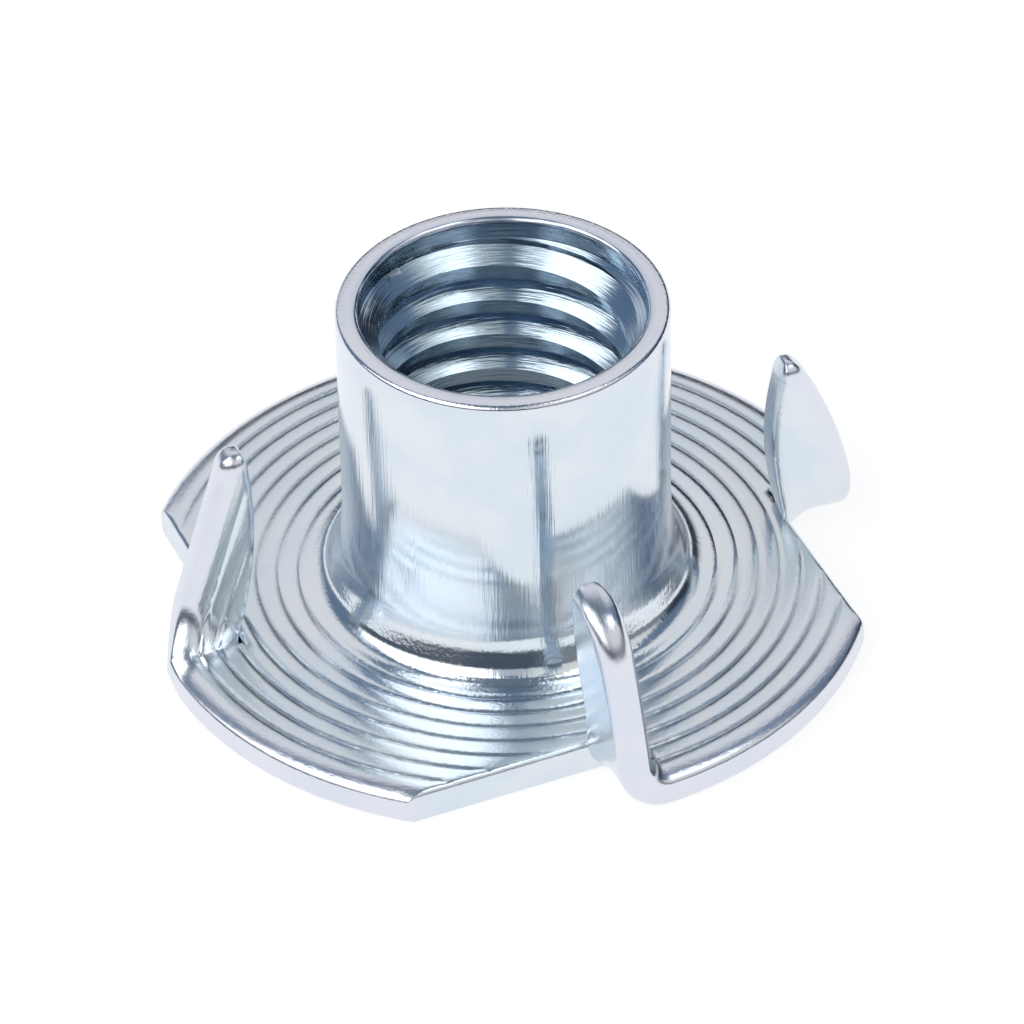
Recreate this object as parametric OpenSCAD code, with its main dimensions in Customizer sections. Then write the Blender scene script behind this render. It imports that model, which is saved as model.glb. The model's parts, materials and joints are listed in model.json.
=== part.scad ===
// Four-prong tee nut: one stamped and drawn piece of zinc-plated sheet steel.
// Frame: millimetres, +Z up the barrel, origin at the centre of the flange's underside.
// Each prong is a sliver of the flange, slit loose along a straight line and folded
// upright about a fold line on the +X, +Y, -X or -Y axis. The slit leaves a notch.

/* [Flange] */
// Diameter of the round flange
flange_d = 25.5; // [23:0.5:32]
// Thickness of the sheet, taken in the valleys between the rings
sheet_t = 1.15; // [0.9:0.05:1.5]
// Radius that rolls the upper and lower edge of the rim
rim_r = 0.35; // [0.1:0.05:0.4]

/* [Rings] */
// Distance from one coined ring to the next
ring_pitch = 0.735; // [0.5:0.005:1.2]
// Height of a ring above the valleys beside it
ring_h = 0.1; // [0.03:0.01:0.15]
// Width of the plain band outside the last ring
rim_land = 0.29; // [0.2:0.01:1]

/* [Barrel] */
// Outside diameter of the barrel
barrel_d = 11.4; // [10.8:0.1:12.6]
// Height of the barrel's mouth above the flange's underside
overall_h = 12.5; // [10:0.5:20]
// Width by which the foot of the barrel flares out on each side
flare_w = 0.15; // [0.05:0.01:0.3]
// Height of that flare above the cove
flare_h = 2.6; // [1:0.1:4]
// Radius of the cove between the flange and the foot of the barrel
cove_r = 1.05; // [0.6:0.05:1.4]
// Radius that breaks the outer edge of the mouth
mouth_edge_r = 0.12; // [0.05:0.01:0.2]

/* [Bore] */
// Diameter of the bore, which is the tapping size of the thread
bore_d = 8.5; // [7.8:0.1:9]
// Diameter of the chamfer at the mouth
mouth_d = 10.15; // [9.4:0.05:10.3]
// Depth of the chamfer at the mouth
mouth_depth = 0.85; // [0.4:0.05:1.5]
// Radius of the drawn-in entry at the underside
entry_r = 0.9; // [0.3:0.1:1.4]

/* [Prongs] */
// Number of prongs, evenly spaced round the flange
prong_count = 4; // [3:1:4]
// Width of a prong at its root, from the slit to the rim
prong_w = 2.8; // [2:0.1:3.2]
// Angle by which the slit leans outwards on its way from the prong to the rim
slit_turn = 3.3; // [0:0.1:6]
// Width of the blunt end of a prong
tip_w = 0.55; // [0.3:0.05:1]
// Inside radius of the fold at the root of a prong
bend_r = 1.1; // [0.6:0.1:1.6]
// Distance by which the slit edge of a prong bulges towards the barrel
belly = 0.4; // [0.1:0.05:0.6]
// Radius of the rounded end of the slit
slit_end_r = 0.3; // [0.2:0.05:0.35]

/* [Hidden] */
$fn = 96;

// Distance by which a cutting or limiting shape reaches past what it cuts
clear = 1;
flange_r = flange_d / 2;
bore_r = bore_d / 2;
mouth_r = mouth_d / 2;
barrel_r = barrel_d / 2;
foot_r = barrel_r + flare_w;
cove_foot_r = foot_r + cove_r;

// Rings are counted from the rim inwards, and the innermost one runs into the cove
outer_valley_r = flange_r - rim_land;
ring_count = ceil((outer_valley_r - cove_foot_r) / ring_pitch);
ring_arc_r = (pow(ring_pitch / 2, 2) + pow(ring_h, 2)) / (2 * ring_h);
edge_r = min(rim_r, 0.45 * sheet_t);

// The fold: a quarter turn, centred on the fold line, with its neutral fibre inside the sheet.
// The sheet thins a little as it bends, and laps into the flange and the blade at either end.
neutral_share = 0.4;
fold_thinning = 0.02;
fold_lap = 0.05;
fold_len = (bend_r + neutral_share * sheet_t) * PI / 2;
fold_x = -fold_len / 2;
fold_z = sheet_t + bend_r;
// Height of the centre that the flange's circles have once they stand upright in the prong
stood_z = fold_z - fold_len / 2;
// How much closer to the axis the rim lies at either end of the fold than on the fold line
fold_sag = flange_r - sqrt(pow(flange_r, 2) - pow(fold_len / 2, 2));

slit_y = flange_r - prong_w;
tip_z = stood_z + sqrt(pow(flange_r, 2) - pow(slit_y + tip_w, 2));
prong_mid_z = (fold_z + tip_z) / 2;
belly_arc_r = (pow((tip_z - fold_z) / 2, 2) + pow(belly, 2)) / (2 * belly);

// Section of the sheet: a strip with a rolled rim and the rings on its upper side.
// The thinning moves every one of its surfaces inwards.
module sheet_section(thinning = 0) {
    translate([0, thinning])
        square([flange_r - edge_r, sheet_t - 2 * thinning]);
    translate([0, edge_r])
        square([flange_r - thinning, sheet_t - 2 * edge_r]);
    for (z = [edge_r, sheet_t - edge_r])
        translate([flange_r - edge_r, z])
            circle(edge_r - thinning);
    for (i = [0 : ring_count - 1])
        translate([outer_valley_r - (i + 0.5) * ring_pitch, 0])
            ring_section(thinning);
}

// Section of one ring: a low arc that stands on the sheet
module ring_section(thinning) {
    intersection() {
        translate([0, sheet_t + ring_h - ring_arc_r])
            circle(ring_arc_r - thinning);
        translate([-ring_pitch / 2, sheet_t / 2])
            square([ring_pitch, sheet_t]);
    }
}

// Section of the barrel's wall, from the cove to the mouth, solid to the axis
module barrel_section() {
    cove_top = sheet_t + cove_r;
    difference() {
        square([cove_foot_r, cove_top]);
        translate([cove_foot_r, cove_top])
            circle(cove_r);
    }
    polygon([
        [0, 0],
        [foot_r, sheet_t],
        [foot_r, cove_top],
        [barrel_r, cove_top + flare_h],
        [barrel_r, overall_h - mouth_edge_r],
        [barrel_r - mouth_edge_r, overall_h],
        [0, overall_h]
    ]);
}

// Everything that is round about the barrel's axis, before it is bored and slit
module round_blank() {
    rotate_extrude()
        sheet_section();
    rotate_extrude()
        barrel_section();
}

module bore() {
    translate([0, 0, -clear])
        cylinder(r = bore_r, h = overall_h + 2 * clear);
    translate([0, 0, overall_h - mouth_depth])
        cylinder(r1 = bore_r, r2 = mouth_r, h = mouth_depth);
    translate([0, 0, overall_h])
        cylinder(r = mouth_r, h = clear);
    rotate_extrude()
        difference() {
            translate([0, -clear])
                square([bore_r + entry_r, entry_r + clear]);
            translate([bore_r + entry_r, entry_r])
                circle(entry_r);
        }
}

// What the slit and the fold take out of the flat flange, with a round inner corner
module notch() {
    reach = flange_r + clear;
    notch_x = fold_x + fold_lap;
    translate([0, 0, -clear])
        linear_extrude(sheet_t + ring_h + 2 * clear) {
            translate([notch_x, slit_y + slit_end_r])
                square([reach, reach]);
            translate([notch_x + slit_end_r, slit_y + slit_end_r]) {
                circle(slit_end_r);
                rotate(slit_turn)
                    translate([0, -slit_end_r])
                        square([reach, reach]);
            }
        }
}

// The quarter-turn fold that joins a prong to the flange
module fold() {
    translate([fold_x, 0, fold_z])
        rotate([-90, 0, 0])
            rotate_extrude(angle = 90)
                intersection() {
                    translate([fold_z, -fold_sag])
                        rotate(90)
                            sheet_section(fold_thinning);
                    translate([0, slit_y + fold_thinning])
                        square([fold_z + clear, flange_r]);
                }
}

// The upright blade: the flange's own disc stood on edge and trimmed to a shark fin
module blade() {
    intersection() {
        translate([fold_x + fold_z, 0, stood_z])
            rotate([0, -90, 0])
                rotate_extrude()
                    sheet_section();
        translate([fold_x, 0, 0])
            rotate([90, 0, 90])
                linear_extrude(fold_z + clear)
                    blade_outline();
    }
}

// Outline of the blade, as distance from the axis and height
module blade_outline() {
    intersection() {
        translate([slit_y - belly, fold_z - fold_lap])
            square([prong_w + belly + clear, tip_z - fold_z + fold_lap]);
        translate([slit_y - belly + belly_arc_r, prong_mid_z])
            circle(belly_arc_r);
    }
}

module tee_nut() {
    color([0.76, 0.79, 0.83]) {
        difference() {
            round_blank();
            bore();
            for (i = [0 : prong_count - 1])
                rotate(i * 360 / prong_count)
                    notch();
        }
        for (i = [0 : prong_count - 1])
            rotate(i * 360 / prong_count) {
                fold();
                blade();
            }
    }
}

tee_nut();
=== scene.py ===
"""Dresses the tee nut: one stamped, drawn and tapped piece of zinc-plated steel.

The whole nut is one mesh, in millimetres until it is written out in metres. Its blank is planned
flat, with rings, rim and slits, and then each prong is folded up out of that plan. The barrel,
the bore and its thread are turned about +Z. A prong has a local frame: x along the prong, from its
fold to its tip, y away from the barrel's axis and z up, with the flat fold centred near x = 0.
"""

import json
import math

import bmesh
import bpy
import numpy as np
from mathutils import Matrix, Vector
from mathutils.geometry import delaunay_2d_cdt


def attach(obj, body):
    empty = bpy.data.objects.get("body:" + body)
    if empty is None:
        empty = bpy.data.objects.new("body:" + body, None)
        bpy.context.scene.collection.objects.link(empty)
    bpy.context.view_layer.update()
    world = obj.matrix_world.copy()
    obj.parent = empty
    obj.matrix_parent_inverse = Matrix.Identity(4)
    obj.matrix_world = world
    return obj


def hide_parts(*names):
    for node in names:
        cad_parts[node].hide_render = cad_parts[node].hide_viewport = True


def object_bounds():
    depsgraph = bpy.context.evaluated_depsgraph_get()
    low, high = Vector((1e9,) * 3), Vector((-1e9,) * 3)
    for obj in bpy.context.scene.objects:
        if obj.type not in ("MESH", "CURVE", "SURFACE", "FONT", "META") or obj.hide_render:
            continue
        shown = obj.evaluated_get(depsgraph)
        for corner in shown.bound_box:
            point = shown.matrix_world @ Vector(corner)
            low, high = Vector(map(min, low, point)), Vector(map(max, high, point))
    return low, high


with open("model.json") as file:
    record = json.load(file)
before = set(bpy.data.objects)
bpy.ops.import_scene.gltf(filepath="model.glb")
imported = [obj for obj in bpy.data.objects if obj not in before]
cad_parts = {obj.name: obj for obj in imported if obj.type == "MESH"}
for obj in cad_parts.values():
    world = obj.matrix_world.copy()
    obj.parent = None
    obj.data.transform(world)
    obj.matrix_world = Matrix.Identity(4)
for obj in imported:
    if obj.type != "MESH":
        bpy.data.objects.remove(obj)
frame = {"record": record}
cad_low, cad_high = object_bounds()
MM = 0.001
MOUNTS = {m["name"]: m for m in frame["record"]["mounts"]}

# Flange, in millimetres. RIM_TOP and RIM_LOW are the roundings of the rim's edges, and RIM_LAND is
# the band outside the rings. GROOVE_SHARE is the groove's width and RING_SAMPLES are the rows of
# vertices across one ring, as shares of the rings' pitch.
FLANGE_R = 12.75
SHEET_T = 1.15
RIM_TOP_W = 0.72
RIM_TOP_H = 0.3
RIM_LOW_R = 0.3
RIM_CREST_H = 0.06
RING_PITCH = 0.735
RING_H = 0.1
RING_CROWN = 0.02
GROOVE_SHARE = 0.44
GROOVE_H = 0.043
GROOVE_SHAPE = 1.3
RIM_LAND = 0.29
RING_FADE_W = 0.55
RING_SAMPLES = (0.0, 0.05, 0.12, 0.22, 0.35, 0.5, 0.65, 0.78, 0.88, 0.95)

# Barrel and bore, in millimetres and degrees. A straight cone leads from the cove up to FOOT_Z,
# and the flare above it thins out to the barrel. The mouth is a recess above the thread.
OVERALL_H = cad_high.z / MM
BARREL_R = MOUNTS["barrel"]["dims"]["r_mm"]
BORE_R = MOUNTS["thread"]["dims"]["r_mm"]
FLARE_W = 0.18
FLARE_H = 2.4
FOOT_Z = 2.4
FOOT_TILT = 26.5
COVE_R = 0.85
MOUTH_R = 4.9
MOUTH_DEPTH = 0.78
MOUTH_SLOPE = 60.0
MOUTH_EDGE_R = 0.2
MOUTH_INNER_R = 0.2
ENTRY_R = 0.9

# Thread M10 x 1.5. CREST_SHARE and ROOT_SHARE are the flats, as shares of the pitch.
THREAD_PITCH = 1.5
THREAD_MAJOR_R = 4.88
THREAD_PHASE = 0.5
CREST_SHARE = 0.24
ROOT_SHARE = 0.14
FLANK_STEPS = 3

# Slits and prongs, in millimetres and degrees. At the slit the fold is tighter, and the metal
# there is drawn into a web that leans out over the notch. WEB_BEND_SHARE is of the bend's radius,
# WEB_RISE_SHARE and WEB_FALL_SHARE are of the fold's length, and NEUTRAL_SHARE is of the sheet.
# A blade starts ROOT_GAP past the slit's end, and its roundings take EDGE_FIT of a narrow section.
SLIT_DISTANCE = 10.0
SLIT_TURN = 3.3
SLIT_R = 0.07
SLIT_TOP_R = 0.22
SLIT_LOW_R = 0.09
SLIT_END_H = 0.1
NOTCH_RUN = 2.0
NEUTRAL_SHARE = 0.4
WEB_BEND_SHARE = 0.35
WEB_W = 1.55
WEB_LEAN = 0.3
WEB_RISE_SHARE = 0.5
WEB_FALL_SHARE = 1.2
ROOT_GAP = 0.06
EDGE_FIT = 0.8
TIP_EDGE_R = 0.5
TIP_EDGE_H = 0.46
TIP_SLIT_R = 0.34
TIP_RIM_R = 0.56

# Mesh density, in steps and in millimetres or degrees. Outside PLAN_R the flange is triangulated,
# in quarters that each hold one prong, and inside it is turned. An edge is sharp from SHARP_TURN.
TURN_STEPS = 288
TURN_STEP = 360 / TURN_STEPS
PLAN_RINGS = 5
PLAN_R = FLANGE_R - RIM_LAND - PLAN_RINGS * RING_PITCH
QUARTER = (30, 120)
EDGE_STEPS = 5
WIDTH_STEPS = 26
BLADE_STEPS = 56
FOLD_ROWS = 14
WEB_ROWS = (0, 0.07, 0.14, 0.22, 0.32, 0.45, 0.6, 0.8, 1)
SLIT_STEP = 0.25
SLIT_TURN_STEPS = 12
COVE_STEPS = 12
FLARE_STEPS = 7
WALL_STEPS = 4
MOUTH_EDGE_STEPS = 6
MOUTH_INNER_STEPS = 7
ENTRY_STEPS = 12
UNDERSIDE_RADII = (6.0, 7.2)
PLAIN_RADII = (10.2, 11.4, 12.1)
SHARP_TURN = 40

# Where rows of vertices end, in millimetres: ROOT_CLEAR from a prong's root and fold and from the
# cove, SLIT_CLEAR from the slit's end, and ROW_GAP from a rounding. The upper side's rows reach
# past the slit's edge, and are cut there.
ROOT_CLEAR = 0.05
SLIT_CLEAR = 0.14
ROW_GAP = 0.03
RIM_REACH = 0.2
ROW_REACH = 0.3

# How near counts as the same place, in millimetres, degrees or decimals of a rounded number
WELD = 0.0005
ON_EDGE = 0.0001
NEAR_RIM = 0.003
NEAR_SLIT = 0.01
NEAR_ROOT = 0.001
SLIVER_TURN = 0.001
TINY = 1e-6
SAME_POINT = 1e-7
NOT_ZERO = 1e-9
ROW_DECIMALS = 6
PLAN_DECIMALS = 5
WALL_DECIMALS = 4

# Each prong: degrees round the axis, degrees turned off that place, degrees and inside radius of
# bend, length along the sheet, shift of the fold along x, the inner edge's y at the tip and its
# belly towards the axis, how far the rim is drawn in at the tip and how much more halfway, and the
# radius of the tip's corner at the rim
PRONGS = (
    dict(
        at=90, off=0.0, bend=90.0, radius=1.2, length=8.2, shift=0.0,
        inner=9.8, belly=0.4, drawn=0.6, hollow=0.2, corner=0.05,
    ),
    dict(
        at=180, off=0.0, bend=83.1, radius=1.9, length=8.87, shift=-0.33,
        inner=9.16, belly=0.5, drawn=0.85, hollow=0.65, corner=0.05,
    ),
    dict(
        at=270, off=2.3, bend=85.1, radius=0.7, length=7.83, shift=0.03,
        inner=9.35, belly=0.53, drawn=-0.99, hollow=0.29, corner=1.72,
    ),
    dict(
        at=0, off=-2.2, bend=94.8, radius=1.2, length=7.64, shift=-0.32,
        inner=10.15, belly=0.5, drawn=0.6, hollow=0.0, corner=0.05,
    ),
)


def rounding(width, steps=EDGE_STEPS):
    """Distances from an edge at which its rounding has a row of vertices."""
    return [width * (1 - math.cos(math.pi / 2 * k / steps)) for k in range(steps + 1)]


def nearness(distance, width):
    """1 on an edge, 0 where its rounding of this width ends."""
    distance = np.where(distance < ON_EDGE, 0, distance)
    return 1 - np.clip(distance / width, 0, 1)


def fall(near, height):
    """How far a surface that is rounded as an ellipse has fallen at this nearness to its edge."""
    return height * (1 - np.sqrt(np.maximum(1 - near**2, 0)))


def drop(distance, width, height=None):
    """How far a surface falls at this distance from an edge that is rounded as an ellipse."""
    return fall(nearness(distance, width), width if height is None else height)


def smooth(share):
    """Eases a share between 0 and 1 at both ends."""
    return share**2 * (3 - 2 * share)


def ring_height(r):
    """Height at blank radius r of the crowned rings, with a narrow groove between each two.

    The land at the rim and the outer half of the first ring aren't lower than the rim's crest.
    """
    phase = (FLANGE_R - RIM_LAND - r) / RING_PITCH
    side = np.abs(2 * (phase - np.floor(phase)) - 1)
    groove = np.maximum((side - 1 + GROOVE_SHARE) / GROOVE_SHARE, 0)
    height = RING_H - RING_CROWN * side**2 - GROOVE_H * groove**GROOVE_SHAPE
    return np.where(phase > 0.5, height, np.maximum(np.where(phase > 0, height, 0), RIM_CREST_H))


def faded_height(r, from_slit):
    """Height of the rings at blank radius r, which are smeared flat near a slit."""
    share = smooth(np.clip(from_slit / RING_FADE_W, 0, 1))
    return RIM_CREST_H + (ring_height(r) - RIM_CREST_H) * share


# ---------------------------------------------------------------- the flat blank and its prongs


class Prong:
    """The slit, the fold and the blade of one prong, in its local frame."""

    def __init__(self, at, off, bend, radius, length, shift, inner, belly, drawn, hollow, corner):
        self.turn = math.radians(at + off - 90)
        self.lean = math.radians(SLIT_TURN - off)
        self.bend = math.radians(bend)
        self.radius = radius
        self.web_radius = WEB_BEND_SHARE * radius
        self.length = length
        self.fold_s = (radius + NEUTRAL_SHARE * SHEET_T) * self.bend
        self.fold_x = -self.fold_s / 2 + shift
        self.flat_s = (radius - self.web_radius) * math.tan(self.bend / 2)
        self.slit_middle = SLIT_DISTANCE + SLIT_R
        self.slit_u = self.along(self.fold_x + self.flat_s + SLIT_R, self.slit_middle)
        self.slit_x = self.from_slit(self.slit_u, self.slit_middle)[0]
        self.root_x = self.slit_x + ROOT_GAP
        self.root_s = self.root_x - self.fold_x
        self.root_y = self.slit_line(self.root_x, SLIT_DISTANCE + 2 * SLIT_R)
        self.inner_tip = inner
        self.belly = belly
        self.drawn = drawn
        self.hollow = hollow
        self.corner = corner

    def along(self, x, v):
        """Distance along the slit at this x, on the line that lies v from the axis."""
        return (x + v * math.sin(self.lean)) / math.cos(self.lean)

    def from_slit(self, u, v):
        """The point u along the slit and v from the axis."""
        c, s = math.cos(self.lean), math.sin(self.lean)
        return u * c - v * s, u * s + v * c

    def to_slit(self, x, y):
        """Distance along the slit, and from the axis."""
        c, s = math.cos(self.lean), math.sin(self.lean)
        return x * c + y * s, y * c - x * s

    def slit_line(self, x, v):
        """The y at this x of the line that lies v from the axis."""
        return (v + x * math.sin(self.lean)) / math.cos(self.lean)

    def beyond_slit(self, x, y):
        """Whether a place lies on the prong's side of the slit."""
        return self.to_slit(x, y)[1] > self.slit_middle

    def along_notch(self, x, y):
        """0 at the slit's end and on the prong's side of it, 1 well out along the flange's side."""
        u, v = self.to_slit(x, y)
        share = smooth(np.clip((u - self.slit_u - SLIT_R) / NOTCH_RUN, 0, 1))
        return np.where(v < self.slit_middle, share, 0)

    def slit_distance(self, x, y):
        """Distance from the slit's edge, positive on the metal."""
        u, v = self.to_slit(x, y)
        round_end = np.hypot(u - self.slit_u, v - self.slit_middle) - SLIT_R
        return np.where(u < self.slit_u, round_end, np.abs(v - self.slit_middle) - SLIT_R)

    def along_blade(self, s):
        """0 at the prong's root, 1 at its tip."""
        return np.clip((s - self.root_s) / (self.length - self.root_s), 0, 1)

    def inner_edge(self, s):
        """Where the blade's edge towards the barrel lies."""
        f = self.along_blade(s)
        return self.root_y + (self.inner_tip - self.root_y) * f - self.belly * 4 * f * (1 - f)

    def rim_y(self, s):
        """Where the rim would lie if forming had not drawn it in."""
        return np.sqrt(FLANGE_R**2 - (self.fold_x + s) ** 2)

    def drawn_in(self, s):
        """How far in from rim_y the rim lies, with the round corner at the tip."""
        f = self.along_blade(s)
        corner = drop(self.length - s, self.corner)
        return self.drawn * f + self.hollow * 4 * f * (1 - f) + corner

    def fold(self, points):
        """Folds flat points of the prong up towards +Z.

        Towards the slit the bend's outer radius shrinks by up to radius - web_radius. So the sheet
        stays flat for longer before the bend, and is straight sooner after it.
        """
        x, y, z = points.T
        s = x - self.fold_x
        _, v = self.to_slit(x, y)
        web = (1 - np.clip((v - self.slit_middle) / WEB_W, 0, 1)) ** 2
        outer = self.radius + SHEET_T - (self.radius - self.web_radius) * web
        flat = (self.radius + SHEET_T - outer) * math.tan(self.bend / 2)
        arc = (outer - (1 - NEUTRAL_SHARE) * SHEET_T) * self.bend
        stretch = (flat + arc) / (self.fold_s - flat)
        path = np.where(s < flat, s, flat + (s - flat) * stretch)
        path = np.where(s < self.fold_s, path, 2 * flat + arc + s - self.fold_s)
        angle = np.clip((path - flat) * self.bend / arc, 0, self.bend)
        straight = np.maximum(path - flat - arc, 0)
        folded_x = self.fold_x + np.minimum(path, flat) + (outer - z) * np.sin(angle)
        folded_x += straight * math.cos(self.bend) + self.web_lean(s) * web
        folded_z = outer - (outer - z) * np.cos(angle) + straight * math.sin(self.bend)
        return np.stack([folded_x, y, folded_z], -1)

    def web_lean(self, s):
        """How far the web leans out over the notch: more up the fold, and less again above it."""
        rise = np.clip(s / (WEB_RISE_SHARE * self.fold_s), 0, 1)
        fade = np.clip((s / self.fold_s - WEB_RISE_SHARE) / WEB_FALL_SHARE, 0, 1)
        return WEB_LEAN * smooth(rise) * (1 - fade) ** 2

    def place(self, points):
        """Turns local points to their place round the barrel."""
        c, s = math.cos(self.turn), math.sin(self.turn)
        x, y, z = points.T
        return np.stack([c * x - s * y, s * x + c * y, z], -1)


class Patch:
    """A stretch of the nut's surface: points, faces by index, and where each point lay when flat."""

    def __init__(self, points, faces, blank=None):
        self.points = np.asarray(points, float)
        self.faces = [tuple(int(i) for i in f) for f in faces]
        self.blank = self.points if blank is None else np.asarray(blank, float)


class Plan:
    """Points and lines of a flat triangulation, where equal points are one."""

    def __init__(self):
        self.points = []
        self.lines = set()
        self.index = {}

    def point(self, x, y):
        key = (round(x, PLAN_DECIMALS), round(y, PLAN_DECIMALS))
        if key not in self.index:
            self.index[key] = len(self.points)
            self.points.append((x, y))
        return self.index[key]

    def line(self, points):
        """Adds a line through these points."""
        found = [self.point(x, y) for x, y in points]
        for a, b in zip(found, found[1:]):
            if a != b:
                self.lines.add((min(a, b), max(a, b)))

    def triangles(self, keep):
        """Triangulates, and keeps the triangles whose centres pass keep(x, y)."""
        corners = [Vector(p) for p in self.points]
        made = delaunay_2d_cdt(corners, sorted(self.lines), [], 0, SAME_POINT)
        points = np.array([(p.x, p.y) for p in made[0]])
        faces = np.array([f for f in made[2] if len(f) == 3])
        x, y = points[faces].mean(axis=1).T
        return points, faces[keep(x, y)]


def on_circle(r, degrees):
    a = math.radians(degrees)
    return r * math.cos(a), r * math.sin(a)


def blade_roundings(prong, s, upper):
    """Width and height of the slit edge's rounding and of the rim's. They grow to the blade's tip."""
    if upper:
        root = (SLIT_TOP_R, SLIT_END_H, RIM_TOP_W, RIM_TOP_H)
    else:
        root = (SLIT_LOW_R, SLIT_LOW_R, RIM_LOW_R, RIM_LOW_R)
    end = (TIP_SLIT_R, TIP_SLIT_R, TIP_RIM_R, TIP_RIM_R)
    f = float(prong.along_blade(s))
    return [a + (b - a) * f for a, b in zip(root, end)]


def section_ys(prong, s, slit_r, rim_w):
    """Places across a prong's section, from its inner edge to the rim, dense on the rounded edges."""
    low, high = prong.inner_edge(s), prong.rim_y(s) - prong.drawn_in(s)
    slant = FLANGE_R / prong.rim_y(s)
    share = edge_share(low, high, slit_r, rim_w * slant)
    inner = [low + share * d for d in rounding(slit_r)]
    outer = [high - share * slant * d for d in rounding(rim_w)][::-1]
    middle = np.linspace(inner[-1], outer[0], WIDTH_STEPS + 1)[1:-1]
    return np.array([*inner, *middle, *outer])


def edge_share(low, high, inner_w, outer_w):
    """How much of the two roundings fits in a section, which narrows to the tip."""
    return min(1.0, EDGE_FIT * (high - low) / (inner_w + outer_w))


def rim_ends(prong):
    """Where the rows along the slit's edge meet the rim, in degrees."""
    found = []
    for d in {*rounding(SLIT_TOP_R), *rounding(SLIT_LOW_R)}:
        x, y = prong.from_slit(rim_along(SLIT_DISTANCE - d), SLIT_DISTANCE - d)
        found.append(math.degrees(math.atan2(y, x)))
    return found


def rim_along(v):
    """Distance along the slit at which a line that lies v from the axis meets the rim."""
    return math.sqrt(FLANGE_R**2 - v**2)


def flange_plan(prong, off, radii, rim_rows, slit_r, rim_w, outline=None):
    """Triangulates the quarter of the flange round one prong, out from PLAN_R.

    radii are the circles that get a row of vertices, rim_rows those of the rim's rounding. The
    upper side's outline comes out of the triangulation, and the lower side takes it over.
    """
    upper = outline is None
    plan = Plan()
    start, end = QUARTER[0] - off, QUARTER[1] - off
    degrees = start + np.arange((end - start) / TURN_STEP + 0.5) * TURN_STEP
    ys = section_ys(prong, prong.root_s, slit_r, rim_w)
    plan.line([(prong.root_x, y) for y in ys])
    fold_xs = np.linspace(prong.fold_x, prong.slit_x, FOLD_ROWS)
    ends = rim_ends(prong)

    # The rim's outline and its rounding, which end on the prong's root
    for k, r in enumerate(rim_rows):
        circle = [on_circle(r, a) for a in degrees]
        blade_side = [(x, math.sqrt(r * r - x * x)) for x in fold_xs[::-1]]
        blade_side += [(x, y) for x, y in circle if x < prong.fold_x - ROOT_CLEAR and y > 0]
        plan.line([(prong.root_x, ys[-1 - k]), *blade_side])
        if k > 0:
            reach = SLIT_DISTANCE + (RIM_REACH if upper else -ROW_GAP)
            plan.line([(x, y) for x, y in circle if x > 0 and prong.to_slit(x, y)[1] < reach])
        elif upper:
            notch_side = [a for a in degrees if a < max(ends) - ROOT_CLEAR]
            plan.line([on_circle(r, a) for a in sorted(notch_side + ends)])

    # Rows across the start of the fold, and along it where the web bends the metal
    for x in fold_xs:
        v = prong.slit_middle + (0 if x < prong.slit_x - SLIT_CLEAR else SLIT_CLEAR)
        on_rim = [(x, math.sqrt(r * r - x * x)) for r in rim_rows[::-1]]
        plan.line([(x, prong.slit_line(x, v)), *on_rim])
    for share in WEB_ROWS:
        v = prong.slit_middle + share * WEB_W
        far = prong.slit_x - (SLIT_CLEAR if share * WEB_W < SLIT_CLEAR else 0)
        plan.line([(x, prong.slit_line(x, v)) for x in (prong.fold_x, far)])

    # The other circles stop short of the prong's root, and of the slit on the lower side
    for r in radii:
        run = []
        for a in degrees:
            x, y = on_circle(r, a)
            past_slit = float(prong.slit_distance(x, y)) < (-ROW_REACH if upper else ROW_GAP)
            past_root = x > prong.root_x - ROOT_CLEAR and prong.beyond_slit(x, y)
            if past_root or past_slit:
                plan.line(run)
                run = []
            else:
                run.append((x, y))
        plan.line(run)

    # The slit's edge and its rounding: in along the slit, and round its end to the prong's root
    turn = np.radians(np.linspace(270, 90, SLIT_TURN_STEPS + 1))[1:]
    for k, d in enumerate(rounding(slit_r)):
        if k == 0 and not upper:
            continue
        v = SLIT_DISTANCE - d
        far = rim_along(v)
        steps = max(2, int((far - prong.slit_u) / SLIT_STEP))
        chord = [prong.from_slit(u, v) for u in np.linspace(far, prong.slit_u, steps)]
        r = SLIT_R + d
        bend = [
            prong.from_slit(prong.slit_u + r * math.cos(a), prong.slit_middle + r * math.sin(a))
            for a in turn
        ]
        plan.line([*chord, *bend, (prong.root_x, ys[k])])

    # The sides of the quarter, and the outline that the lower side takes over
    rows = sorted({*radii, *rim_rows})
    for a in (degrees[0], degrees[-1]):
        plan.line([on_circle(r, a) for r in rows])
    for a, b in outline or ():
        plan.line([a, b])

    def metal(x, y):
        """Whether the flange has metal here, apart from the blade."""
        r = np.hypot(x, y)
        angle = np.degrees(np.arctan2(y, x))
        ring = (r > PLAN_R * math.cos(math.radians(TURN_STEP / 2))) & (r < FLANGE_R)
        sector = (angle > start + SLIVER_TURN) & (angle < end - SLIVER_TURN)
        blade_side = (x > prong.root_x) & prong.beyond_slit(x, y)
        return ring & sector & (prong.slit_distance(x, y) > 0) & ~blade_side

    return plan.triangles(metal)


def outline_edges(prong, points, faces):
    """The edges of a triangulation that lie on the rim or on the slit."""
    count = {}
    for f in faces:
        for a, b in ((f[0], f[1]), (f[1], f[2]), (f[2], f[0])):
            key = (min(a, b), max(a, b))
            count[key] = (count.get(key, (0,))[0] + 1, a, b)
    edges = []
    for times, a, b in count.values():
        ends = points[[a, b]]
        x, y = ends.mean(axis=0)
        on_rim = np.hypot(*ends.T).min() > FLANGE_R - NEAR_RIM
        on_slit = abs(float(prong.slit_distance(x, y))) < NEAR_SLIT
        on_root = abs(x - prong.root_x) < NEAR_ROOT and prong.beyond_slit(x, y)
        if times == 1 and (on_rim or on_slit) and not on_root:
            edges.append((a, b))
    return edges


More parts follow.
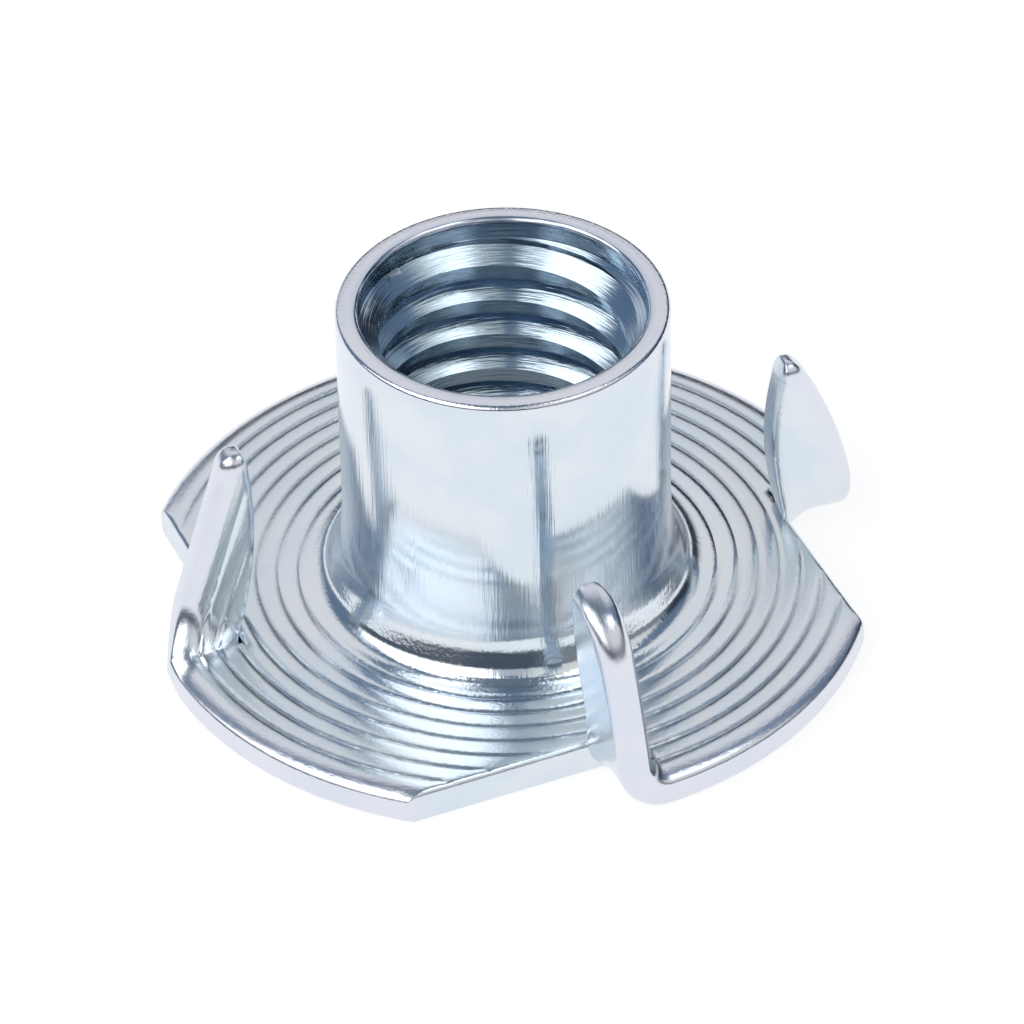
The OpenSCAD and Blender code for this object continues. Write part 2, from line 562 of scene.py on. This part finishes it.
def flange_height(prong, x, y, upper):
    """Height of the flat flange's upper or lower surface."""
    r = np.hypot(x, y)
    if upper:
        metal = prong.slit_distance(x, y)
        height = SLIT_END_H + (SLIT_TOP_R - SLIT_END_H) * prong.along_notch(x, y)
        at_rim = drop(FLANGE_R - r, RIM_TOP_W, RIM_TOP_H)
        return SHEET_T + faded_height(r, metal) - np.maximum(at_rim, drop(metal, SLIT_TOP_R, height))
    return np.maximum(drop(FLANGE_R - r, RIM_LOW_R), drop(prong.slit_distance(x, y), SLIT_LOW_R))


def flange_quarter(prong, off):
    """The flange round one prong, outside PLAN_R: upper side, lower side and the wall between."""
    rim_upper = [FLANGE_R - d for d in rounding(RIM_TOP_W)]
    rim_lower = [FLANGE_R - d for d in rounding(RIM_LOW_R)]
    rings = [r for r in ring_radii(PLAN_R) if r < rim_upper[-1] - ROW_GAP]
    plain = [PLAN_R, *PLAIN_RADII]
    top, top_faces = flange_plan(prong, off, rings, rim_upper, SLIT_TOP_R, RIM_TOP_W)
    edges = outline_edges(prong, top, top_faces)
    outline = [(tuple(top[a]), tuple(top[b])) for a, b in edges]
    low, low_faces = flange_plan(prong, off, plain, rim_lower, SLIT_LOW_R, RIM_LOW_R, outline)
    sides = []
    for points, faces, upper in ((top, top_faces, True), (low, low_faces, False)):
        x, y = points.T
        flat = np.stack([x, y, flange_height(prong, x, y, upper)], -1)
        sides.append((flat, faces if upper else faces[:, ::-1]))
    walls = wall_between(sides[0][0], edges, sides[1][0])
    return [as_placed(prong, flat, faces) for flat, faces in [*sides, walls]]


def wall_between(upper, edges, lower):
    """The upright wall from the upper outline's edges down to the same places below."""
    below = {tuple(p[:2].round(WALL_DECIMALS)): p[2] for p in lower}
    points, faces = [], []
    for a, b in edges:
        n = len(points)
        for x, y, z in (upper[a], upper[b]):
            place = tuple(np.array([x, y]).round(WALL_DECIMALS))
            points += [(x, y, z), (x, y, below[place])]
        faces.append((n, n + 1, n + 3, n + 2))
    return np.array(points), np.array(faces)


def as_placed(prong, flat, faces):
    """Folds what lies on the prong's side of the slit, and turns the patch to its place."""
    past_slit = prong.beyond_slit(flat[:, :1], flat[:, 1:2])
    folded = np.where(past_slit, prong.fold(flat), flat)
    return Patch(prong.place(folded), faces, prong.place(flat))


def blade(prong):
    """The folded part of a prong, swept from its root to its blunt tip."""
    tip_rows = [prong.length - d for d in rounding(TIP_EDGE_R)][::-1]
    run = np.linspace(prong.root_s, tip_rows[0], BLADE_STEPS + 1)[:-1]
    flats, blanks = [], []
    for s in [*run, *tip_rows]:
        section, blank = blade_section(prong, s)
        flats.append(section)
        blanks.append(blank)
    rows, count = len(flats), len(flats[0])
    faces = []
    for i in range(rows - 1):
        for j in range(count):
            a, b = i * count + j, i * count + (j + 1) % count
            faces.append((a, b, b + count, a + count))
    half = count // 2
    last = (rows - 1) * count
    for j in range(half - 1):
        faces.append((last + j, last + j + 1, last + count - 2 - j, last + count - 1 - j))
    flat, blank = np.concatenate(flats), np.concatenate(blanks)
    return Patch(prong.place(prong.fold(flat)), faces, prong.place(blank))


def blade_section(prong, s):
    """One closed section of the blade: up the ringed face and back down the plain one."""
    x = prong.fold_x + s
    slant = FLANGE_R / prong.rim_y(s)
    across = math.cos(prong.lean)
    tip = float(nearness(prong.length - s, TIP_EDGE_R))
    loops, blanks = [], []
    for upper in (True, False):
        slit_r, slit_h, rim_w, rim_h = blade_roundings(prong, s, upper)
        ys = section_ys(prong, s, slit_r, rim_w)
        low, high = ys[0], ys[-1]
        share = edge_share(low, high, slit_r, rim_w * slant)
        start = low + float(fall(tip, slit_r * share / across))
        end = high - float(fall(tip, rim_w * share * slant))
        ys = start + (ys - low) * (end - start) / (high - low)
        near_slit = nearness((ys - low) * across / share, slit_r)
        near_rim = nearness((high - ys) / (share * slant), rim_w)
        nears = np.stack([near_slit, near_rim, np.full_like(ys, tip)])
        heights = np.array([slit_h * share, rim_h * share, TIP_EDGE_H])[:, None]
        weight = nears**2
        height = (weight * heights).sum(axis=0) / np.maximum(weight.sum(axis=0), NOT_ZERO)
        fallen = fall(np.minimum(np.sqrt(weight.sum(axis=0)), 1), height)
        blank_y = ys + float(prong.drawn_in(s))
        level = fallen
        if upper:
            level = SHEET_T + faded_height(np.hypot(x, blank_y), (ys - low) * across) - fallen
        loops.append(np.stack([np.full_like(ys, x), ys, level], -1))
        blanks.append(np.stack([np.full_like(ys, x), blank_y, level], -1))
    return tuple(np.concatenate([pair[0], pair[1][::-1]]) for pair in (loops, blanks))


# ---------------------------------------------------------------- what is turned about +Z


def ring_radii(inner):
    """Radii with a row of vertices on the rings, from inner out to the rim's land."""
    outer = FLANGE_R - RIM_LAND
    count = int((outer - inner) / RING_PITCH + 1.5)
    radii = [outer - RING_PITCH * (k - share) for k in range(1, count + 1) for share in RING_SAMPLES]
    return sorted(r for r in {round(r, ROW_DECIMALS) for r in [*radii, outer]} if r > inner - TINY)


def turned(profile):
    """A surface of revolution from (radius, height) pairs, in order with the metal on the left."""
    angles = np.radians(np.arange(TURN_STEPS) * 360 / TURN_STEPS)
    r, z = np.array(profile).T
    x = np.outer(r, np.cos(angles))
    y = np.outer(r, np.sin(angles))
    points = np.stack([x, y, np.repeat(z[:, None], TURN_STEPS, 1)], -1).reshape(-1, 3)
    faces = []
    for i in range(len(profile) - 1):
        for j in range(TURN_STEPS):
            a, b = i * TURN_STEPS + j, i * TURN_STEPS + (j + 1) % TURN_STEPS
            faces.append((a, b, b + TURN_STEPS, a + TURN_STEPS))
    return Patch(points, faces)


def arc(centre_r, centre_z, radius, start, end, steps):
    """Pairs (radius, height) round an arc between two angles, in degrees."""
    a = np.radians(np.linspace(start, end, steps + 1))
    return [(centre_r + radius * math.cos(t), centre_z + radius * math.sin(t)) for t in a]


def outside_profile():
    """From PLAN_R inwards over the rings, up the cove and the barrel, to the mouth."""
    foot_r = BARREL_R + FLARE_W
    cove_z = SHEET_T + RING_H + COVE_R
    tilt = math.radians(FOOT_TILT)
    cone_end_z = cove_z - COVE_R * math.sin(tilt)
    cone_end_r = foot_r + (FOOT_Z - cone_end_z) * math.tan(tilt)
    cove_out = cone_end_r + COVE_R * math.cos(tilt)
    radii = [r for r in ring_radii(cove_out + ROOT_CLEAR) if r < PLAN_R + TINY]
    flange = [(r, SHEET_T + float(ring_height(r))) for r in radii]
    cove = arc(cove_out, cove_z, COVE_R, 270, 180 + FOOT_TILT, COVE_STEPS)
    middle = ((foot_r + cone_end_r) / 2, (FOOT_Z + cone_end_z) / 2)
    flare = [
        (foot_r - FLARE_W * math.sin(math.pi / 2 * f), FOOT_Z + FLARE_H * f)
        for f in np.linspace(0, 1, FLARE_STEPS + 1)
    ]
    edge_z = OVERALL_H - MOUTH_EDGE_R
    wall = [(BARREL_R, z) for z in np.linspace(FOOT_Z + FLARE_H, edge_z, WALL_STEPS + 1)[1:-1]]
    edge = arc(BARREL_R - MOUTH_EDGE_R, edge_z, MOUTH_EDGE_R, 0, 90, MOUTH_EDGE_STEPS)
    inner_r, inner_z = MOUTH_R + MOUTH_INNER_R, OVERALL_H - MOUTH_INNER_R
    inner = arc(inner_r, inner_z, MOUTH_INNER_R, 90, 180, MOUTH_INNER_STEPS)
    return [*flange[::-1], *cove, middle, *flare, *wall, *edge, *inner]


def entry_profile():
    """From the bore's lower end round its drawn-in entry to PLAN_R on the underside."""
    entry = arc(BORE_R + ENTRY_R, ENTRY_R, ENTRY_R, 180, 270, ENTRY_STEPS)
    return [*entry, *[(r, 0.0) for r in (*UNDERSIDE_RADII, PLAN_R)]]


def thread_radius(angle, z):
    """Radius of the tapped surface: a flat crest, straight flanks and a narrow root."""
    phase = z / THREAD_PITCH - angle / (2 * math.pi) + THREAD_PHASE
    share = phase - np.floor(phase)
    from_crest = np.abs(share - 0.5) * 2
    flank = (from_crest - CREST_SHARE) / (1 - CREST_SHARE - ROOT_SHARE)
    return BORE_R + (THREAD_MAJOR_R - BORE_R) * np.clip(flank, 0, 1)


def thread_shares():
    """Where the thread's rows of vertices lie within one pitch."""
    crest, root = CREST_SHARE / 2, 0.5 - ROOT_SHARE / 2
    flank = np.linspace(crest, root, FLANK_STEPS + 1)
    half = [0, *flank, 0.5]
    shares = [(0.5 + sign * h - THREAD_PHASE) % 1 for h in half for sign in (1, -1)]
    return sorted({round(share, ROW_DECIMALS) for share in shares})


def bore():
    """The threaded bore, from the entry's top to the mouth. Its rows climb with the thread."""
    low, high = ENTRY_R, OVERALL_H - MOUTH_INNER_R
    turns = int(OVERALL_H / THREAD_PITCH) + 2
    angles = np.radians(np.arange(TURN_STEPS + 1) * TURN_STEP)
    rows = [THREAD_PITCH * (m + s) for m in range(-1, turns) for s in thread_shares()]
    z = np.array(rows)[:, None] + THREAD_PITCH * angles / (2 * math.pi)
    recess_z = OVERALL_H - MOUTH_DEPTH

    def above_thread(z):
        """How much wider the recess at the mouth is than the thread."""
        slope = MOUTH_R + np.minimum(z - recess_z, 0) * math.tan(math.radians(MOUTH_SLOPE))
        return slope - thread_radius(angles, z)

    # The rows nearest to the bore's lower end move onto it. Where the thread runs out into the
    # recess, the nearer row moves to the crease, and free rows above it take the other borders.
    creased = np.zeros(z.shape, bool)
    columns = np.arange(len(angles))
    nearest = np.abs(z - low).argmin(axis=0)
    z[nearest, columns] = low
    creased[nearest, columns] = True
    over = above_thread(z)
    for i in range(len(rows) - 1):
        share = over[i] / np.where(over[i] == over[i + 1], 1, over[i] - over[i + 1])
        crease = z[i] + (z[i + 1] - z[i]) * share
        crossed = (over[i] < 0) & (over[i + 1] > 0) & (crease < recess_z)
        for row, near in ((i, crossed & (share < 0.5)), (i + 1, crossed & (share >= 0.5))):
            z[row] = np.where(near, crease, z[row])
            creased[row] |= near
    for border in (recess_z, high):
        settled = np.where(creased, z, low).max(axis=0)
        nearest = np.where(z > settled, np.abs(z - border), np.inf).argmin(axis=0)
        z[nearest, columns] = border
        creased[nearest, columns] = True
    z = np.clip(z, low, high)
    r = thread_radius(angles, z) + np.maximum(above_thread(z), 0)
    r = np.where(z <= low, BORE_R, r)
    r = np.where(z >= high, MOUTH_R, r)
    points = np.stack([r * np.cos(angles), r * np.sin(angles), z], -1).reshape(-1, 3)

    # A face that the crease crosses is split along it
    count = TURN_STEPS + 1
    faces = []
    for i in range(len(rows) - 1):
        for j in range(TURN_STEPS):
            a = i * count + j
            b, c, d = a + count, a + count + 1, a + 1
            if creased[i + 1, j] and creased[i, j + 1]:
                faces += [(a, b, d), (b, c, d)]
            elif creased[i, j] and creased[i + 1, j + 1]:
                faces += [(a, b, c), (a, c, d)]
            else:
                faces.append((a, b, c, d))
    return Patch(points, faces)


# ---------------------------------------------------------------- one mesh from the patches


def nut_patches():
    """The whole surface: what is turned, and each prong with its quarter of the flange."""
    patches = [turned(outside_profile()), turned(entry_profile()), bore()]
    for spec in PRONGS:
        prong = Prong(**spec)
        patches += flange_quarter(prong, spec["off"])
        patches.append(blade(prong))
    return patches


def make_mesh(name, patches):
    """Joins the patches where their borders meet, in metres."""
    mesh = bpy.data.meshes.new(name)
    starts = np.cumsum([0] + [len(p.points) for p in patches])
    points = np.concatenate([p.points for p in patches])
    faces = [tuple(i + start for i in f) for p, start in zip(patches, starts) for f in p.faces]
    mesh.from_pydata(points.tolist(), [], faces)
    blanks = np.concatenate([p.blank for p in patches]).astype(np.float32)
    blank = mesh.attributes.new("blank", "FLOAT_VECTOR", "POINT")
    blank.data.foreach_set("vector", blanks.ravel())
    bm = bmesh.new()
    bm.from_mesh(mesh)
    bmesh.ops.remove_doubles(bm, verts=bm.verts, dist=WELD)
    bmesh.ops.dissolve_degenerate(bm, edges=bm.edges, dist=WELD / 2)
    bmesh.ops.recalc_face_normals(bm, faces=bm.faces)
    bm.to_mesh(mesh)
    bm.free()
    mesh.transform(Matrix.Scale(MM, 4))
    mesh.polygons.foreach_set("use_smooth", [True] * len(mesh.polygons))
    mesh.set_sharp_from_angle(angle=math.radians(SHARP_TURN))
    return mesh


def add_nut():
    """The whole nut as one piece, in place of the plain solid."""
    nut = bpy.data.objects.new("tee_nut_zinc", make_mesh("tee_nut_zinc", nut_patches()))
    bpy.context.scene.collection.objects.link(nut)
    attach(nut, "root")
    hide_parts("tee_nut")
    return nut


# ---------------------------------------------------------------- camera

# In degrees and millimetres, with the shift in widths of the frame. The target is on the axis.
CAMERA_AZIMUTH = 340.94
CAMERA_ELEVATION = 38.62
CAMERA_DISTANCE = 205.4
CAMERA_TARGET_Z = 5.715
CAMERA_LENS = 209.2
CAMERA_ROLL = -1.163
CAMERA_SHIFT = (0.00605, -0.04955)
CAMERA_CLIP = (0.01, 10)


def add_camera():
    a, e = math.radians(CAMERA_AZIMUTH), math.radians(CAMERA_ELEVATION)
    back = Vector((math.sin(a) * math.cos(e), -math.cos(a) * math.cos(e), math.sin(e)))
    data = bpy.data.cameras.new("camera")
    data.lens = CAMERA_LENS
    data.clip_start, data.clip_end = CAMERA_CLIP
    data.shift_x, data.shift_y = CAMERA_SHIFT
    camera = bpy.data.objects.new("camera", data)
    camera.location = (Vector((0, 0, CAMERA_TARGET_Z)) + back * CAMERA_DISTANCE) * MM
    roll = Matrix.Rotation(math.radians(CAMERA_ROLL), 3, "Z").to_quaternion()
    camera.rotation_mode = "QUATERNION"
    camera.rotation_quaternion = (-back).to_track_quat("-Z", "Y") @ roll
    bpy.context.scene.collection.objects.link(camera)
    bpy.context.scene.camera = camera


# ---------------------------------------------------------------- node graphs


def node(tree, kind, inputs, output=0, **settings):
    """Adds a node, with its inputs as values or as other nodes' outputs, and returns an output."""
    made = tree.nodes.new(kind)
    for name, value in settings.items():
        setattr(made, name, value)
    for name, value in inputs.items():
        if isinstance(value, bpy.types.NodeSocket):
            tree.links.new(value, made.inputs[name])
        else:
            made.inputs[name].default_value = value
    return made.outputs[output]


def maths(tree, operation, *values):
    """One step of arithmetic on numbers or outputs."""
    return node(tree, "ShaderNodeMath", dict(enumerate(values)), operation=operation)


def ramp(tree, value, start, end, low=0.0, high=1.0):
    """Goes smoothly from low to high as the value goes from start to end."""
    inputs = {"Value": value, "From Min": start, "From Max": end, "To Min": low, "To Max": high}
    return node(tree, "ShaderNodeMapRange", inputs, interpolation_type="SMOOTHSTEP")


def mix(tree, share, first, second):
    """Blends two colours, which are the node's inputs 6 and 7."""
    inputs = {0: share, 6: first, 7: second}
    return node(tree, "ShaderNodeMix", inputs, output=2, data_type="RGBA")


def blend(tree, share, first, second):
    """Blends two numbers."""
    return node(tree, "ShaderNodeMix", {0: share, 2: first, 3: second}, data_type="FLOAT")


def vector(tree, x, y, z):
    """A vector from three numbers."""
    return node(tree, "ShaderNodeCombineXYZ", {"X": x, "Y": y, "Z": z})


def noise(tree, point, scale=1.0, detail=2.0, w=None):
    """Fractal noise between 0 and 1 at this point, of three numbers or of four with w."""
    inputs = {"Vector": point, "Scale": scale, "Detail": detail}
    if w is None:
        return node(tree, "ShaderNodeTexNoise", inputs, noise_dimensions="3D")
    return node(tree, "ShaderNodeTexNoise", {**inputs, "W": w}, noise_dimensions="4D")


# ---------------------------------------------------------------- zinc

ZINC = (0.68, 0.76, 0.84, 1)
PALE_ZINC = (0.76, 0.81, 0.86, 1)
LAVENDER = (0.75, 0.74, 0.85, 1)
BORE_BLUE = (0.52, 0.64, 0.75, 1)
TINT_SHARE = 0.42
FLANGE_ROUGHNESS = 0.19
COVE_ROUGHNESS = 0.1
BARREL_ROUGHNESS = 0.08
BORE_ROUGHNESS = 0.12

# Clouds in the plating: their scale per millimetre, and the noise values between which the tint
# and the roughness change
CLOUD_SCALE = 0.35
CLOUD_TINTED = (0.35, 0.65)
CLOUD_ROUGH = (0.3, 0.7)
ROUGHNESS_SPREAD = 0.03

# Marks of rolling on the flange, of drawing on the barrel and of turning in the bore: the noise's
# scale across them and along the barrel, per millimetre, and round the axis, per radian
ROLLED_ACROSS = 18.0
ROLLED_AROUND = 50.0
ROLLED_DEPTH = 0.008 * MM
DRAWN_ACROSS = 10.0
DRAWN_ALONG = 0.25
DRAWN_DEPTH = 0.009 * MM
TURNED_ACROSS = 9.0
TURNED_AROUND = 3.0
TURNED_DEPTH = 0.012 * MM
MARKS_ROUGHNESS = 0.05

# Where one finish goes over into the next, in millimetres: radii in the barrel's wall, heights at
# its foot, radii outside the cove, and distances in from the rim and down from the mouth
OUT_OF_WALL = (5.2, 5.35)
INTO_WALL = (5.25, 5.05)
BARREL_FROM = (FOOT_Z - 0.5, FOOT_Z)
COVE_TO_FLANGE = (7.6, 8.8)
RIM_TINT = (0.75, 0.25)
MOUTH_TINT = (0.3, 0.05)


def marks_round_axis(tree, around, around_scale, across, across_scale):
    """Noise drawn out round the axis, from the direction out of the axis and a distance across."""
    around = node(tree, "ShaderNodeVectorMath", {0: around, 3: around_scale}, operation="SCALE")
    return noise(tree, around, w=maths(tree, "MULTIPLY", across, across_scale))


def zinc_material():
    """Bright blue-white zinc, marked by forming: round the flange and bore, and up the barrel.

    It is laid out on the flat blank, so the rings' marks go up the prongs that are folded from it.
    """
    material = bpy.data.materials.new("zinc")
    material.use_nodes = True
    tree = material.node_tree
    shader = tree.nodes["Principled BSDF"]
    place = node(tree, "ShaderNodeAttribute", {}, output=1, attribute_name="blank")
    x, y, z = node(tree, "ShaderNodeSeparateXYZ", {0: place}).node.outputs
    flat = vector(tree, x, y, 0.0)
    r = node(tree, "ShaderNodeVectorMath", {0: flat}, output=1, operation="LENGTH")
    on_barrel = maths(tree, "MULTIPLY", ramp(tree, z, *BARREL_FROM), ramp(tree, r, *OUT_OF_WALL))
    in_bore = ramp(tree, r, *INTO_WALL)
    on_rim = ramp(tree, r, *[FLANGE_R - w for w in RIM_TINT])
    on_mouth = ramp(tree, z, *[OVERALL_H - h for h in MOUTH_TINT])

    # Marks that run round the axis, and drawing marks that run up the barrel
    around = node(tree, "ShaderNodeVectorMath", {0: flat, 1: r}, operation="DIVIDE")
    across = maths(tree, "ADD", r, z)
    rolled = marks_round_axis(tree, around, ROLLED_AROUND, across, ROLLED_ACROSS)
    turned_marks = marks_round_axis(tree, around, TURNED_AROUND, across, TURNED_ACROSS)
    drawn_point = vector(
        tree,
        maths(tree, "MULTIPLY", x, DRAWN_ACROSS),
        maths(tree, "MULTIPLY", y, DRAWN_ACROSS),
        maths(tree, "MULTIPLY", z, DRAWN_ALONG),
    )
    drawn = noise(tree, drawn_point, detail=3.0)
    marks = blend(tree, in_bore, blend(tree, on_barrel, rolled, drawn), turned_marks)
    depth = blend(tree, in_bore, blend(tree, on_barrel, ROLLED_DEPTH, DRAWN_DEPTH), TURNED_DEPTH)
    bump = node(tree, "ShaderNodeBump", {"Strength": 1.0, "Distance": depth, "Height": marks})
    tree.links.new(bump, shader.inputs["Normal"])

    # Where the plating is duller, and its tints
    cloud = noise(tree, place, scale=CLOUD_SCALE, detail=3.0)
    rough = ramp(tree, r, *COVE_TO_FLANGE, COVE_ROUGHNESS, FLANGE_ROUGHNESS)
    rough = blend(tree, in_bore, blend(tree, on_barrel, rough, BARREL_ROUGHNESS), BORE_ROUGHNESS)
    spread = ramp(tree, cloud, *CLOUD_ROUGH, -ROUGHNESS_SPREAD, ROUGHNESS_SPREAD)
    in_marks = maths(tree, "MULTIPLY", marks, MARKS_ROUGHNESS)
    rough = maths(tree, "ADD", maths(tree, "ADD", rough, spread), in_marks)
    tree.links.new(rough, shader.inputs["Roughness"])
    body = mix(tree, ramp(tree, cloud, *CLOUD_TINTED), ZINC, PALE_ZINC)
    body = mix(tree, in_bore, body, BORE_BLUE)
    edge = maths(tree, "MULTIPLY", maths(tree, "MAXIMUM", on_rim, on_mouth), TINT_SHARE)
    tree.links.new(mix(tree, edge, body, LAVENDER), shader.inputs["Base Color"])
    shader.inputs["Metallic"].default_value = 1.0
    return material


# ---------------------------------------------------------------- studio and floor

# The studio that lights the nut: dark walls above a white backdrop, which ends between the
# elevations of BACKDROP_TOP. Each area on the walls has the azimuth of its middle and half its
# width, the elevation of its middle and half its height, how soft its edge is, and its colour.
# All angles are in degrees, and azimuths are counted from CAMERA_AZIMUTH, to the right.
WHITE = (1.0, 1.0, 1.0, 1)
WALLS = (0.14, 0.20, 0.29, 1)
BACKDROP_TOP = (4, 7)
AREAS = (
    (180, 44, 42, 24, 10, (0.84, 0.83, 0.84, 1)),
    (150, 48, 8, 20, 6, (0.03, 0.04, 0.06, 1)),
    (-56, 46, 46, 26, 4, (1.9, 1.85, 1.8, 1)),
    (54, 44, 46, 26, 6, (0.80, 0.80, 0.76, 1)),
    (0, 9, 40, 16, 3, (0.55, 0.56, 0.58, 1)),
    (-30, 66, 12, 14, 4, (0.08, 0.10, 0.13, 1)),
    (60, 40, 12, 14, 6, (0.24, 0.25, 0.28, 1)),
    (0, 180, 85, 17, 3, (0.16, 0.20, 0.25, 1)),
    (-80, 26, 66, 11, 3, (2.0, 2.0, 2.0, 1)),
    (80, 26, 66, 11, 3, (2.0, 2.0, 2.0, 1)),
)

# The floor: half its side in metres, its colour to the light and where it is seen, its own glow
# there, and the share of that glow which is left under the nut's bore, where it is painted shade
FLOOR_HALF = 0.6
FLOOR_BOUNCE = (0.8, 0.8, 0.8, 1)
FLOOR_SHADED = (0.3, 0.3, 0.3, 1)
FLOOR_GLOW = 0.8
FLOOR_GLOW_IN_PAINTED_SHADE = 0.25


def add_world():
    """The same surroundings for every kind of ray."""
    world = bpy.data.worlds.new("world")
    bpy.context.scene.world = world
    world.use_nodes = True
    tree = world.node_tree
    direction = node(tree, "ShaderNodeTexCoord", {})
    turn = {"Vector": direction, "Angle": math.radians(-CAMERA_AZIMUTH)}
    turned_round = node(tree, "ShaderNodeVectorRotate", turn, rotation_type="Z_AXIS")
    x, y, z = node(tree, "ShaderNodeSeparateXYZ", {0: turned_round}).node.outputs
    azimuth = maths(tree, "DEGREES", maths(tree, "ARCTAN2", x, maths(tree, "MULTIPLY", y, -1.0)))
    elevation = maths(tree, "DEGREES", maths(tree, "ARCSINE", z))
    colour = WALLS
    for middle, width, height, tall, soft, area in AREAS:
        from_middle = maths(tree, "SUBTRACT", azimuth, middle)
        aside = maths(tree, "ABSOLUTE", maths(tree, "WRAP", from_middle, 180.0, -180.0))
        above = maths(tree, "ABSOLUTE", maths(tree, "SUBTRACT", elevation, height))
        share = maths(
            tree,
            "MULTIPLY",
            ramp(tree, aside, width - soft, width + soft, 1, 0),
            ramp(tree, above, tall - soft, tall + soft, 1, 0),
        )
        colour = mix(tree, share, colour, area)
    colour = mix(tree, ramp(tree, elevation, *BACKDROP_TOP, 1, 0), colour, WHITE)
    tree.links.new(colour, tree.nodes["Background"].inputs["Color"])


def add_floor():
    """A pale floor that takes the nut's shadow, with painted shade under the nut's bore."""
    mesh = bpy.data.meshes.new("floor")
    corners = [(x * FLOOR_HALF, y * FLOOR_HALF, 0) for x, y in ((-1, -1), (1, -1), (1, 1), (-1, 1))]
    mesh.from_pydata(corners, [], [(0, 1, 2, 3)])
    floor = bpy.data.objects.new("floor", mesh)
    bpy.context.scene.collection.objects.link(floor)
    material = bpy.data.materials.new("floor")
    material.use_nodes = True
    tree = material.node_tree
    paths = tree.nodes.new("ShaderNodeLightPath").outputs
    seen = maths(tree, "ADD", paths["Is Camera Ray"], paths["Is Glossy Ray"])
    seen = maths(tree, "ADD", seen, paths["Is Transmission Ray"])
    colour = mix(tree, seen, FLOOR_BOUNCE, FLOOR_SHADED)
    paper = node(tree, "ShaderNodeBsdfDiffuse", {"Color": colour})
    place = node(tree, "ShaderNodeNewGeometry", {}, output="Position")
    from_axis = node(tree, "ShaderNodeVectorMath", {0: place}, output="Value", operation="LENGTH")
    # Painted shade: the floor's glow is turned down under the nut's bore
    outside_painted_shade = ramp(tree, from_axis, BORE_R * MM, FLANGE_R * MM / 2, FLOOR_GLOW_IN_PAINTED_SHADE)
    strength = maths(tree, "MULTIPLY", maths(tree, "MULTIPLY", seen, outside_painted_shade), FLOOR_GLOW)
    glow = node(tree, "ShaderNodeEmission", {"Color": WHITE, "Strength": strength})
    both = node(tree, "ShaderNodeAddShader", {0: paper, 1: glow})
    tree.links.new(both, tree.nodes["Material Output"].inputs["Surface"])
    mesh.materials.append(material)


nut = add_nut()
nut.data.materials.append(zinc_material())
add_camera()
add_world()
add_floor()
bpy.context.scene.view_settings.view_transform = "Standard"
